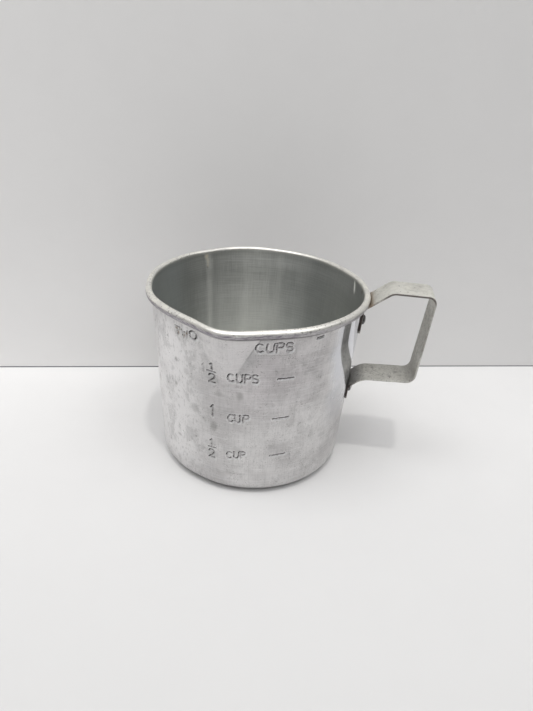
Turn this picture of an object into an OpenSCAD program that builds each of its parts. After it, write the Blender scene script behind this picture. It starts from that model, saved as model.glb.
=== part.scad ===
// Two-cup aluminium measuring cup: one drawn cup with a rolled rim and a side
// pouring lip, and a bent strap handle held by one rivet at each end.
// The origin is the centre of the base on the table. The handle points along +X.

/* [Cup] */
// Height from the table to the top of the rolled rim
cup_h = 84.6; // [80:0.2:90]
// Outer diameter over the rolled rim
rim_d = 98.4; // [97.8:0.2:99]
// Outer diameter of the wall just below the rolled rim
mouth_d = 93.4; // [93:0.2:94]
// Outer diameter of the wall where the base corner ends
base_d = 86.2; // [84:0.2:88]
// Outer radius of the corner between wall and base
corner_r = 6.6; // [4:0.2:9]
// Thickness of the sheet the cup is drawn from
wall_t = 0.8; // [0.6:0.05:1]

/* [Rolled rim] */
// Height of the rolled rim bead
bead_h = 3.6; // [3.6:0.1:4.2]
// Gap left between the rolled edge and the wall
curl_gap = 0.4; // [0.3:0.05:0.6]

/* [Pouring lip] */
// Direction of the lip, counted from the handle seen from above
lip_angle = -97; // [-120:1:-60]
// How far the lip stands out from the round wall
lip_out = 4; // [3:0.1:5]
// Radius of the rounded nose of the lip
nose_r = 20; // [16:0.5:24]
// Height at which the lip fades into the wall
lip_root_z = 53; // [45:1:60]

/* [Graduations] */
// Height of the half cup line
half_cup_z = 22; // [20:0.1:24]
// Height of the one cup line
one_cup_z = 41.6; // [40:0.1:43]
// Height of the one and a half cup line
cup_and_half_z = 61.5; // [60:0.1:63]
// Height of the two cup line
two_cup_z = 78.2; // [77:0.1:79]
// Length of each line around the wall
line_len = 6.6; // [5:0.1:8]
// Width of the pressed line
line_w = 0.7; // [0.4:0.1:1]
// Depth of the pressed line
line_depth = 0.25; // [0.15:0.05:0.35]

/* [Handle] */
// Width of the strap
strap_w = 15; // [13:0.5:17]
// Thickness of the strap
strap_t = 0.8; // [0.7:0.1:1.2]
// Distance from the cup axis to the back of the grip at the top
handle_reach = 77; // [72:0.5:84]
// Height of the top of the handle
handle_top_z = 88.6; // [87:0.2:91]
// Height of the underside of the lower run of the strap
lower_run_z = 45; // [43:0.5:47]
// Height of the lowest point of the upper tab
upper_tab_z = 67.2; // [66:0.2:68]
// Height of the lowest point of the lower tab
lower_tab_z = 33; // [31:0.2:33.4]
// Corner radius at the end of each tab
tab_corner_r = 3; // [2:0.5:5]

/* [Rivets] */
// Diameter of the rivet shank
rivet_d = 3; // [2.4:0.1:3.4]
// Diameter of the rivet heads
head_d = 4.6; // [4.2:0.1:4.8]
// Height of the domed head outside the strap
dome_h = 1.6; // [1.2:0.1:1.8]
// Height of the flatter head inside the cup
inner_head_h = 0.9; // [0.6:0.1:1.2]
// Height of the upper rivet
upper_rivet_z = 71.9; // [71:0.1:72.5]
// Height of the lower rivet
lower_rivet_z = 36.8; // [36.4:0.1:36.8]

/* [Hidden] */
$fn = 96;
over = 1;
play = 0.05;
slim_step = 0.1;

// Wall: a straight taper from the base corner to the rolled rim.
wall_top_z = cup_h - bead_h;
mouth_r = mouth_d / 2;
base_r = base_d / 2;
taper = (mouth_r - base_r) / (wall_top_z - corner_r);
taper_angle = atan(taper);
function wall_r(z) = base_r + taper * (z - corner_r);

// Rolled rim: a curl of sheet whose inner leg stands on the top of the wall.
bead_w = rim_d / 2 - (mouth_r - wall_t);
bead_r = bead_w / 2;
curl_top_z = cup_h - bead_r;
curl_low_z = cup_h - bead_h + bead_r;

// Lip: a second, smaller cone on its own upright axis, which stands out of the wall
// at the top and sinks into it at the root. Its outline crosses the wall's outline on
// a line on each side of the lip, and the two lines meet at the wedge point.
nose_x = mouth_r + lip_out - nose_r;
lip_slope = (nose_r + nose_x - wall_r(lip_root_z)) / (wall_top_z - lip_root_z);
function lip_r(z) = nose_r + lip_slope * (z - wall_top_z);
function cross_x(t) = (pow(mouth_r + t, 2) - pow(nose_r + t, 2) + pow(nose_x, 2)) / (2 * nose_x);
function cross_y(t) = sqrt(pow(mouth_r + t, 2) - pow(cross_x(t), 2));
wedge_angle = atan2(cross_y(bead_w) - cross_y(0), cross_x(bead_w) - cross_x(0));
wedge_x = cross_x(0) - cross_y(0) / tan(wedge_angle);

// Line marks: where each one sits around the wall, counted from the handle.
line_angle = -67;
top_line_angle = -50.5;

// Handle path: the corner points of the strap's centre line, as [x, z]. It rises
// from the upper tab past the rolled rim, runs out to the grip, and comes back
// below to the lower tab. The flat strap stands tab_step proud of the curved tabs.
tab_step = 0.1;
slope_angle = 38;
foot_angle = 42;
grip_lean = 4.4;
run_rise = 3;
half_t = strap_t / 2;
function tab_x(z) = wall_r(z) + half_t + tab_step;
top_z = handle_top_z - half_t;
run_z = lower_run_z + half_t;
slope_z = wall_top_z - 1.5;
slope_end_x = tab_x(slope_z) + (top_z - slope_z) / tan(slope_angle);
grip_x = handle_reach - half_t;
grip_low_x = grip_x - (top_z - run_z) * tan(grip_lean);
foot_z = run_z - 4.6;
foot_end_x = tab_x(foot_z) + (run_z - foot_z) / tan(foot_angle);
grip_low_z = run_z + (grip_low_x - foot_end_x) * tan(run_rise);
path = [
    [tab_x(slope_z - 4), slope_z - 4],
    [tab_x(slope_z), slope_z],
    [slope_end_x, top_z],
    [grip_x, top_z],
    [grip_low_x, grip_low_z],
    [foot_end_x, run_z],
    [tab_x(foot_z), foot_z],
    [tab_x(foot_z - 2.5), foot_z - 2.5]
];
bend_radii = [0, 2.5, 5, 3.2, 4, 9, 3.5, 0];
bend_steps = 10;
last = len(path) - 1;

// Heading of leg i, the turn at corner i, and what a bend takes off each leg.
function heading(i) = atan2(path[i + 1].y - path[i].y, path[i + 1].x - path[i].x);
function wrap(a) = a > 180 ? a - 360 : a < -180 ? a + 360 : a;
function turn(i) = wrap(heading(i) - heading(i - 1));
function setback(i) = bend_radii[i] * tan(abs(turn(i)) / 2);
function along(a) = [cos(a), sin(a)];
function across(a) = [-sin(a), cos(a)];

// One edge of the strap around corner i, offset by d from the centre line.
function bend_centre(i) = path[i] - setback(i) * along(heading(i - 1))
    + sign(turn(i)) * bend_radii[i] * across(heading(i - 1));
function bend_edge(i, d) = [
    for (k = [0 : bend_steps])
        bend_centre(i) + (d - sign(turn(i)) * bend_radii[i])
            * across(heading(i - 1) + turn(i) * k / bend_steps)
];
function strap_edge(d) = [
    path[0] + d * across(heading(0)),
    for (i = [1 : last - 1]) each bend_edge(i, d),
    path[last] + d * across(heading(last - 1))
];
function backwards(points) = [for (i = [len(points) - 1 : -1 : 0]) points[i]];

// The rolled rim's section: x counts out from the inner face of the wall. A slim
// section is thinner all round, so that it can run into a full one.
module bead_section(slim = 0) {
    leg_inset = play + slim;
    leg_foot = 0.2;
    curl_end_x = wall_t + curl_gap;
    difference() {
        stadium(bead_r - slim);
        stadium(bead_r - wall_t + slim);
        translate([-wall_t, wall_top_z - wall_t])
            square([wall_t + curl_end_x + slim, curl_top_z - wall_top_z + wall_t]);
    }
    translate([leg_inset, wall_top_z - leg_foot])
        square([wall_t - 2 * leg_inset, curl_top_z - wall_top_z + leg_foot + play]);
}

// Two circles one above the other, joined by a square.
module stadium(r) {
    translate([bead_r, curl_top_z])
        circle(r);
    translate([bead_r, curl_low_z])
        circle(r);
    translate([bead_r - r, curl_low_z])
        square([2 * r, curl_top_z - curl_low_z]);
}

// The sector of the rim that belongs to the lip, made wider by grow on each side.
module lip_wedge(grow = 0) {
    reach = 50;
    rotate([0, 0, lip_angle])
        translate([wedge_x - grow / sin(wedge_angle), 0, wall_top_z - 5])
            linear_extrude(bead_h + 10)
                polygon([
                    [0, 0],
                    [reach, -reach * tan(wedge_angle)],
                    [reach, reach * tan(wedge_angle)]
                ]);
}

// The rolled rim: the round ring with the lip's sector left out, and the nose arc.
module rolled_rim() {
    difference() {
        rotate_extrude()
            translate([mouth_r - wall_t, 0])
                bead_section();
        lip_wedge();
    }
    intersection() {
        rotate([0, 0, lip_angle])
            translate([nose_x, 0, 0])
                rotate_extrude()
                    translate([nose_r - wall_t, 0])
                        bead_section(slim_step);
        lip_wedge(play);
    }
}

// A solid cup body: tapered, with a rounded corner. inset = 0 outside, wall_t inside.
module cup_solid(inset, top_z) {
    r = corner_r - inset;
    foot_r = base_r - corner_r;
    rotate_extrude() {
        polygon([
            [0, inset],
            [foot_r, inset],
            [foot_r, corner_r],
            [wall_r(corner_r) - inset, corner_r],
            [wall_r(top_z) - inset, top_z],
            [0, top_z]
        ]);
        intersection() {
            translate([foot_r, corner_r])
                circle(r);
            translate([foot_r, 0])
                square([corner_r, corner_r]);
        }
    }
}

// The pushed-out lip as a solid cone. Its small end starts below the root, where it
// is inside the wall.
module lip_solid(inset, top_z) {
    start_z = lip_root_z - 2;
    rotate([0, 0, lip_angle])
        translate([nose_x, 0, start_z])
            cylinder(h = top_z - start_z, r1 = lip_r(start_z) - inset, r2 = lip_r(top_z) - inset);
}

// The round body and the lip together. inset = 0 outside, wall_t inside.
module cup_form(inset, top_z) {
    cup_solid(inset, top_z);
    lip_solid(inset, top_z);
}

// The sheet wall, cut level where the rolled rim stands on it.
module cup_wall() {
    difference() {
        cup_form(0, wall_top_z + over);
        union() {
            cup_form(wall_t, wall_top_z + 2 * over);
            translate([0, 0, wall_top_z])
                cylinder(d = rim_d + 2 * nose_r, h = 3 * over);
        }
    }
}

// One pressed line on the wall at height z and angle around the cup.
module line_mark(z, angle) {
    rotate([0, 0, angle])
        translate([wall_r(z) - line_depth, -line_len / 2, z - line_w / 2])
            cube([2, line_len, line_w]);
}

// Places its children on the wall with +Z along the outward normal.
module on_wall(z) {
    translate([wall_r(z), 0, z])
        rotate([0, 90 + taper_angle, 0])
            children();
}

module rivet_hole(z) {
    on_wall(z)
        translate([0, 0, -4])
            cylinder(d = rivet_d + 2 * play, h = 8);
}

module rivet(z) {
    dome_r = (pow(head_d / 2, 2) + pow(dome_h, 2)) / (2 * dome_h);
    inner_z = wall_t + 2 * play;
    on_wall(z) {
        translate([0, 0, -inner_z])
            cylinder(d = rivet_d, h = inner_z + strap_t + dome_h / 2);
        intersection() {
            translate([0, 0, strap_t + dome_h - dome_r])
                sphere(dome_r);
            translate([0, 0, strap_t])
                cylinder(d = head_d, h = dome_h);
        }
        translate([0, 0, -inner_z - inner_head_h])
            cylinder(d1 = head_d - 1, d2 = head_d, h = inner_head_h);
    }
}

// A strap tab that follows the round wall, with rounded corners at its free end.
module strap_tab(low_z, high_z) {
    r = tab_corner_r;
    intersection() {
        rotate([0, 0, -20])
            rotate_extrude(angle = 40)
                polygon([
                    [wall_r(low_z), low_z],
                    [wall_r(low_z) + strap_t, low_z],
                    [wall_r(high_z) + strap_t, high_z],
                    [wall_r(high_z), high_z]
                ]);
        translate([base_r - 5, 0, 0])
            rotate([90, 0, 90])
                linear_extrude(20)
                    union() {
                        translate([-strap_w / 2, low_z + r])
                            square([strap_w, high_z - low_z]);
                        translate([-strap_w / 2 + r, low_z])
                            square([strap_w - 2 * r, r + 1]);
                        for (side = [-1, 1])
                            translate([side * (strap_w / 2 - r), low_z + r])
                                circle(r);
                    }
    }
}

module cup_shell() {
    color([0.76, 0.77, 0.78])
        difference() {
            union() {
                cup_wall();
                rolled_rim();
            }
            for (z = [half_cup_z, one_cup_z, cup_and_half_z])
                line_mark(z, line_angle);
            line_mark(two_cup_z, top_line_angle);
            rivet_hole(upper_rivet_z);
            rivet_hole(lower_rivet_z);
        }
}

module handle_strap() {
    color([0.72, 0.71, 0.66])
        difference() {
            union() {
                translate([0, strap_w / 2, 0])
                    rotate([90, 0, 0])
                        linear_extrude(strap_w)
                            polygon(concat(strap_edge(half_t), backwards(strap_edge(-half_t))));
                strap_tab(upper_tab_z, slope_z - 2);
                strap_tab(lower_tab_z, foot_z - 2);
            }
            rivet_hole(upper_rivet_z);
            rivet_hole(lower_rivet_z);
        }
}

module upper_rivet() {
    color([0.80, 0.80, 0.79])
        rivet(upper_rivet_z);
}

module lower_rivet() {
    color([0.80, 0.80, 0.79])
        rivet(lower_rivet_z);
}

cup_shell();
handle_strap();
upper_rivet();
lower_rivet();
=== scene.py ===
import math
import bpy
import numpy as np
from mathutils import Matrix, Vector


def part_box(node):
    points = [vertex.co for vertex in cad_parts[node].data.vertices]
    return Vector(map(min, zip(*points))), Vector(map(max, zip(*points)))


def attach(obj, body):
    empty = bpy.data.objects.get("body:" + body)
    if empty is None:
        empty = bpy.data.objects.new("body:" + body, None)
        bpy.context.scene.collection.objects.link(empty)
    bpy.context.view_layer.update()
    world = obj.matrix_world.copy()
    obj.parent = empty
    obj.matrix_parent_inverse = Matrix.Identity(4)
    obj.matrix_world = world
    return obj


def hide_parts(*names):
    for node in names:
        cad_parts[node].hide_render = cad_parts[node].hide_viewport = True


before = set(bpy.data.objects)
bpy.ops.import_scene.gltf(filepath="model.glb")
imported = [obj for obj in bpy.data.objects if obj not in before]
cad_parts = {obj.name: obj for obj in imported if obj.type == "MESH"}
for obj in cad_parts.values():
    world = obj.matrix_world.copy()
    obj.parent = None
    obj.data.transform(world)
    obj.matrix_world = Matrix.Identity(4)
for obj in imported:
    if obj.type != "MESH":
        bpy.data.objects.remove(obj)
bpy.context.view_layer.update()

MM = 0.001


# ---- sizes in mm and degrees
cup_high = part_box("cup_shell")[1]
strap_low, strap_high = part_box("handle_strap")
CUP_H = cup_high[2] / MM            # top of the rolled rim
RIM_R = cup_high[0] / MM            # outside of the rolled rim
STRAP_TOP = strap_high[2] / MM
STRAP_W = (strap_high[1] - strap_low[1]) / MM

SHEET = 0.8                         # sheet thickness of the cup
BEAD_W = 3.3                        # the rolled rim, across and up
BEAD_H = 3.6
MOUTH_FLARE = 0.5                   # how far the inside opens out just under the rim
WALL_TOP = CUP_H - BEAD_H
MOUTH_R = RIM_R - BEAD_W + SHEET    # outside of the wall under the rim
BASE_R = 43.1                       # outside of the wall above the base corner
CORNER_R = 6.6
BASE_RISE = 0.3                     # how far the middle of the base stands off the table
TAPER = (MOUTH_R - BASE_R) / (WALL_TOP - CORNER_R)

# Azimuths are turned from the handle, anticlockwise seen from above.
LIP_AZ = -98.4                      # direction of the pouring lip
LIP_OUT = 3.9                       # how far the lip stands out at the rim
LIP_ROOT = 53.0                     # height where the lip fades into the wall
LIP_WIDTHS = (12.4, 15.8)           # half widths of the lip's nose at the rim: left, right
CREASES = (17.0, 20.5)              # turns from the lip to its creases at the rim: left, right

STRAP_T = 0.8
GRIP_REACH = 77.0                   # back of the grip before its top bend is rounded
RUN_Z = 45.0                        # underside of the strap's lower run
TAB_TOP, TAB_FOOT = 67.2, 33.0      # free ends of the upper and the lower tab
TAB_CORNER = 3.0                    # corner radius of the tabs

RIVETS = {"upper_rivet": 71.9, "lower_rivet": 36.8}     # heights of the rivets' axes


def wall_r(z):
    """Outside radius of the plain wall at height z."""
    return BASE_R + TAPER * (z - CORNER_R)


def smooth(x, a, b):
    """0 below a, 1 above b, and a soft step between them."""
    t = np.clip((np.asarray(x, float) - a) / (b - a), 0, 1)
    return t * t * (3 - 2 * t)


def bump(x, width):
    """1 at zero, falling off softly over the width."""
    return np.exp(-((x / width) ** 2))


def turn_from(az, centre):
    """Signed angle from centre to az, in degrees, between -180 and 180."""
    return (az - centre + 180) % 360 - 180


def wave(az, times, start):
    """A sine that runs the given number of times around the cup."""
    return np.sin(np.radians(times * az + start))


# ---- the cup's shape around its axis
# (azimuth, outward mm, width in degrees): how the worn rim is out of round
ROUNDNESS = [
    (100, 0.8, 13), (130, -0.6, 8), (62, -0.35, 13), (35, -0.55, 18), (-5, 0.25, 12), (-42, -0.2, 14),
    (180, 0.25, 14), (-150, 0.6, 13),
]
# (azimuth, height, depth mm, radius mm): small knocks in the wall
DINGS = [
    (-101, 52.3, 0.14, 1.6), (-90, 53.0, 0.10, 1.8), (-114, 42.5, 0.12, 1.5), (-129, 22.3, 0.16, 1.8),
    (-130, 48.9, 0.12, 1.6), (-62, 69.0, 0.10, 2.2), (-58, 46.0, 0.08, 2.4), (-76, 30.0, 0.08, 2.6),
    (-140, 60.0, 0.14, 2.8), (-118, 12.0, 0.22, 5.0), (-88, 9.5, 0.14, 5.0), (-35, 20.0, 0.12, 4.0),
    (150, 30.0, 0.18, 3.5), (120, 58.0, 0.15, 3.0), (95, 22.0, 0.20, 4.5), (60, 44.0, 0.16, 3.2),
    (-170, 36.0, 0.16, 3.0), (35, 62.0, 0.10, 2.4), (172, 66.0, 0.14, 2.4),
]


def lip_out(az, z):
    """How far the pushed-out lip stands out of the round wall: a round nose at the rim, a wedge below."""
    turn = turn_from(az, LIP_AZ)
    rise = np.clip((z - LIP_ROOT) / (CUP_H - LIP_ROOT), 0.0001, 1)
    nose = bump(turn, np.where(turn < 0, *LIP_WIDTHS))
    crease = np.where(turn < 0, *CREASES) * rise
    blunt_front, blunt_crease = 0.04, 0.0005
    flank = 1.05 - np.sqrt((turn / crease) ** 2 + blunt_front)
    wedge = 0.5 * (flank + np.sqrt(flank**2 + blunt_crease)) / 0.85
    share = smooth(z, 74, CUP_H - 3)
    return LIP_OUT * rise * (nose * share + wedge * (1 - share)) * (z > LIP_ROOT)


def out_of_round(az, z):
    """How the rim is bent out of round, fading out downwards, with a slight wave lower down."""
    bent = np.zeros_like(az)
    for centre, out, width in ROUNDNESS:
        bent += out * bump(turn_from(az, centre), width)
    low = 0.35 * wave(az, 2, 40) + 0.15 * wave(az, 3, -10)
    return bent * smooth(z, 15, CUP_H) + 0.35 * low * smooth(z, 2, 30)


def dings(az, z):
    """Small knocks and a faint unevenness of the whole wall."""
    total = np.zeros_like(az)
    for centre, height, depth, radius in DINGS:
        arc = np.radians(turn_from(az, centre)) * wall_r(height)
        total -= depth * bump(np.hypot(arc, z - height), radius)
    soft = np.sin(np.radians(5 * az) + z * 0.11) * np.sin(z * 0.17 + 1.1 + np.radians(3 * az))
    return total + 0.035 * soft * smooth(z, 8, 16)


def wall_shift(az, z):
    """How far the wall stands out of a plain turned shape."""
    flat_spot = -0.4 * bump(turn_from(az, -115), 9) * bump(z - 2, 9)
    return lip_out(az, z) + out_of_round(az, z) + dings(az, z) + flat_spot


def rim_drop(az, z):
    """The rim's dip at the lip and its small rises and falls, as a shift in height."""
    turn = turn_from(az, LIP_AZ)
    dip = -0.30 * bump(turn, 13) - 0.25 * bump(turn, 75)
    ripple = 0.10 * wave(az, 3, 50) + 0.06 * wave(az, 7, 0)
    return (dip + ripple) * smooth(z, 40, CUP_H - 4)


# ---- pressed graduations
def arc_points(cx, cy, rx, ry, a0, a1, n=10):
    """Points along part of an ellipse, both ends included."""
    turns = [math.radians(a0 + (a1 - a0) * i / n) for i in range(n + 1)]
    return [(cx + rx * math.cos(a), cy + ry * math.sin(a)) for a in turns]


# Plain stroke letters in a box one wide and one high.
STROKES = {
    "C": [arc_points(0.52, 0.5, 0.5, 0.5, 48, 312, 16)],
    "U": [[(0.02, 1.0), (0.02, 0.42)] + arc_points(0.5, 0.42, 0.48, 0.42, 180, 360) + [(0.98, 1.0)]],
    "P": [[(0.06, 0.0), (0.06, 1.0)] + arc_points(0.58, 0.74, 0.38, 0.26, 90, -90) + [(0.06, 0.48)]],
    "S": [arc_points(0.5, 0.75, 0.42, 0.25, 35, 270) + arc_points(0.5, 0.25, 0.42, 0.25, 90, -145)],
    "T": [[(0.0, 1.0), (1.0, 1.0)], [(0.5, 1.0), (0.5, 0.0)]],
    "W": [[(0.0, 1.0), (0.27, 0.0), (0.5, 0.75), (0.73, 0.0), (1.0, 1.0)]],
    "O": [arc_points(0.5, 0.5, 0.5, 0.5, 0, 360, 20)],
    "1": [[(0.2, 0.78), (0.5, 1.0), (0.5, 0.0)]],
    "2": [arc_points(0.5, 0.7, 0.42, 0.3, 160, -40) + [(0.05, 0.0), (0.98, 0.0)]],
    "-": [[(0.0, 0.5), (1.0, 0.5)]],
}

# (text, azimuths of the left and the right edge, height of the foot, letter height, rise, strength)
MARKS = [
    ("T", -127.4, -123.9, 73.8, 3.4, 0.0, 0.55),
    ("W", -122.6, -118.6, 73.6, 3.2, 0.09, 0.7),
    ("O", -117.2, -112.8, 74.5, 3.6, 0.09, 1.0),
    ("CUPS", -82.7, -64.5, 74.1, 3.9, 0.0, 1.0),
    ("-", -51.8, -48.2, 78.0, 0.5, 0.12, 1.0),
    ("1", -110.7, -108.2, 61.4, 3.6, 0.0, 0.45),
    ("1", -106.3, -103.2, 62.9, 3.2, 0.0, 0.9),
    ("-", -107.2, -102.6, 61.9, 0.5, 0.0, 0.9),
    ("2", -106.6, -103.0, 56.9, 4.0, 0.0, 1.0),
    ("CUPS", -95.7, -80.6, 59.3, 3.9, 0.0, 1.0),
    ("-", -70.9, -62.9, 61.2, 0.5, 0.02, 1.0),
    ("1", -106.4, -102.4, 40.2, 5.6, 0.0, 0.8),
    ("CUP", -95.7, -84.7, 39.2, 3.6, 0.02, 0.85),
    ("-", -71.6, -63.0, 41.3, 0.5, 0.05, 0.85),
    ("1", -106.4, -103.6, 23.9, 3.4, 0.0, 0.55),
    ("-", -107.0, -102.8, 22.9, 0.5, 0.0, 0.8),
    ("2", -106.7, -103.2, 17.7, 4.2, 0.0, 1.0),
    ("CUP", -95.9, -85.2, 19.4, 3.4, 0.09, 0.9),
    ("-", -71.5, -62.8, 21.5, 0.5, 0.05, 0.75),
]
STROKE_W = 0.84
STROKE_DEPTH = 0.30
STROKE_LIP = 0.06                   # metal pushed up beside each stroke
STROKE_REACH = 1.2                  # how far from a stroke the wall is worked
LETTER_GAP = 0.32                   # gap between letters, as a share of their width


def mark_segments():
    """Every stroke of every mark, as (arc position, height) ends on the unrolled wall."""
    for text, left, right, foot, height, rise, strength in MARKS:
        mid = wall_r(foot + height / 2)
        x0, x1 = math.radians(left) * mid, math.radians(right) * mid
        width = (x1 - x0) / (len(text) + LETTER_GAP * (len(text) - 1))
        for i, letter in enumerate(text):
            at = x0 + i * width * (1 + LETTER_GAP)
            uneven = 0 if letter == "-" else 1
            low = foot + uneven * 0.18 * math.sin(1.7 * i + 0.9 * foot)
            lean = uneven * 0.32 * math.sin(3.9 * i + 2.1 * foot)
            for stroke in STROKES[letter]:
                ends = [(at + u * width + lean * v, low + v * height + rise * (at + u * width - x0))
                        for u, v in stroke]
                for a, b in zip(ends, ends[1:]):
                    yield a, b, mid, strength


def close_to(x, z, a, b):
    """Which points are within reach of the stroke from a to b."""
    beside = (x > min(a[0], b[0]) - STROKE_REACH) & (x < max(a[0], b[0]) + STROKE_REACH)
    level = (z > min(a[1], b[1]) - STROKE_REACH) & (z < max(a[1], b[1]) + STROKE_REACH)
    return beside & level


def groove(az, z):
    """Depth of the pressed marks and height of the metal pushed up beside them, each from 0 to 1."""
    depth, lip = np.zeros_like(az), np.zeros_like(az)
    turns = np.radians(turn_from(az, 0))
    for a, b, mid, strength in mark_segments():
        x = turns * mid
        near = close_to(x, z, a, b)
        if not near.any():
            continue
        px, pz = x[near], z[near]
        dx, dz = b[0] - a[0], b[1] - a[1]
        t = np.clip(((px - a[0]) * dx + (pz - a[1]) * dz) / max(dx * dx + dz * dz, 1e-9), 0, 1)
        far = np.hypot(px - a[0] - t * dx, pz - a[1] - t * dz)
        far = far + 0.10 * np.sin(px * 3.3 + pz * 2.1) * np.sin(pz * 4.1 - px * 1.7)
        worn = 0.82 + 0.18 * np.sin(px * 2.1 + pz * 1.3) * np.sin(pz * 2.7 - px * 0.9)
        cut = strength * worn * (1 - smooth(far, STROKE_W * 0.28, STROKE_W * 0.72))
        depth[near] = np.maximum(depth[near], cut)
        lip[near] = np.maximum(lip[near], strength * bump(far - STROKE_W * 0.95, 0.24))
    return depth, lip * (1 - depth)


# ---- the cup: one closed sheet
def spaced(a, b, step):
    """Evenly spaced values from a up to, but not including, b."""
    n = max(1, int(math.ceil(abs(b - a) / step)))
    return [a + (b - a) * i / n for i in range(n)]


def cup_columns():
    """Azimuths of the mesh's columns, close together at the marks and at small painted details."""
    runs = [
        (-132, -44, 0.28), (-44, -10, 0.6), (-10, 11, 0.5), (11, 19.4, 1.1), (19.4, 24.2, 0.3),
        (24.2, 127.5, 1.15), (127.5, 136.5, 0.45), (136.5, 228, 1.15),
    ]
    return np.array([turn for run in runs for turn in spaced(*run)])


def wall_rows():
    """Heights down the outside of the wall, close together where there are marks."""
    runs = [
        (WALL_TOP - 0.2, 79.8, 0.5), (79.8, 71.2, 0.23), (71.2, 67.3, 0.9), (67.3, 56.0, 0.23),
        (56.0, 46.8, 0.9), (46.8, 38.6, 0.23), (38.6, 28.0, 0.9), (28.0, 17.0, 0.23), (17.0, CORNER_R, 0.9),
    ]
    return [height for run in runs for height in spaced(*run)]


def base_rise(r):
    """Height of the base's underside: the middle stands off the table."""
    return BASE_RISE * (1 - smooth(r, 24, 31))


def bead_skin():
    """The rolled rim's outer skin as (r, z): up the inside, over the ridge, down the outside and under."""
    width = BEAD_W - MOUTH_FLARE
    ridge_x, ridge_drop, outer_drop, under_x = 1.05, 1.15, 1.75, 1.4
    under_h = BEAD_H - outer_drop
    skin = arc_points(ridge_x, CUP_H - ridge_drop, ridge_x, ridge_drop, 180, 90, 15)[:-1]
    skin += arc_points(ridge_x, CUP_H - outer_drop, width - ridge_x, outer_drop, 90, 0, 13)[:-1]
    skin += arc_points(under_x, CUP_H - outer_drop, width - under_x, under_h, 0, -115, 14)
    inner_r = MOUTH_R - SHEET + MOUTH_FLARE
    return [(inner_r + x, z) for x, z in skin]


def hollow_side(skin):
    """The same skin seen from the hollow of the bead: one sheet thickness further in."""
    inset = SHEET * 0.94
    back = []
    for i, (r, z) in enumerate(skin):
        a, b = skin[max(i - 1, 0)], skin[min(i + 1, len(skin) - 1)]
        along_r, along_z = b[0] - a[0], b[1] - a[1]
        size = math.hypot(along_r, along_z)
        back.append((r + along_z / size * inset, z - along_r / size * inset))
    return back


INSIDE, BEAD, OUTSIDE = 0, 0.5, 1   # which face of the cup a point is on


def sheet_profile():
    """The section of the cup's sheet as a closed loop of (r, z, face), from the middle of the base."""
    foot_r = BASE_R - CORNER_R
    corner = CORNER_R - SHEET
    middle = [0.8, 2.2]
    inside = [(r, SHEET + base_rise(r)) for r in middle + spaced(4, foot_r, 2.4)]
    inside += arc_points(foot_r, CORNER_R, corner, corner, -90, 0, 9)[:-1]
    for z in spaced(CORNER_R, 68, 1.5) + spaced(68, CUP_H - 1.6, 0.75):
        flare = MOUTH_FLARE * float(smooth(z, 74, CUP_H - 2))
        inside.append((min(wall_r(z), MOUTH_R) - SHEET + flare, z))
    skin = bead_skin()
    bead = skin + hollow_side(skin)[:2:-2]
    outside = [(wall_r(z), z) for z in wall_rows()]
    outside += arc_points(foot_r, CORNER_R, CORNER_R, CORNER_R, 0, -90, 11)[:-1]
    outside += [(r, base_rise(r)) for r in spaced(foot_r, 4, 2.4) + [4] + middle[::-1]]
    faces = ((inside, INSIDE), (bead, BEAD), (outside, OUTSIDE))
    return [(r, z, face) for points, face in faces for r, z in points]


def new_mesh(name, verts, faces):
    """A smooth-shaded object in the scene, made of these vertices and faces."""
    mesh = bpy.data.meshes.new(name)
    mesh.from_pydata(verts, [], faces)
    mesh.validate()
    mesh.update()
    obj = bpy.data.objects.new(name, mesh)
    bpy.context.scene.collection.objects.link(obj)
    mesh.polygons.foreach_set("use_smooth", [True] * len(mesh.polygons))
    return obj


def tube(rings, around):
    """Quads between rings of vertices: they face out where a ring turns right-handed about the way on."""
    faces = []
    for a in range(0, (rings - 1) * around, around):
        b = a + around
        for j in range(around):
            k = (j + 1) % around
            faces.append((a + j, a + k, b + k, b + j))
    return faces


def fans(rings, around):
    """Triangles that close both ends of a tube on the two vertices that follow its rings."""
    faces = []
    first, end = rings * around, (rings - 1) * around
    for j in range(around):
        k = (j + 1) % around
        faces += [(first, k, j), (first + 1, end + j, end + k)]
    return faces


def paint(obj, name, values):
    """Give a mesh a painted value per vertex, which its material reads by name."""
    attribute = obj.data.attributes.new(name, "FLOAT", "POINT")
    attribute.data.foreach_set("value", np.asarray(values, dtype=np.float32))


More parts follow.
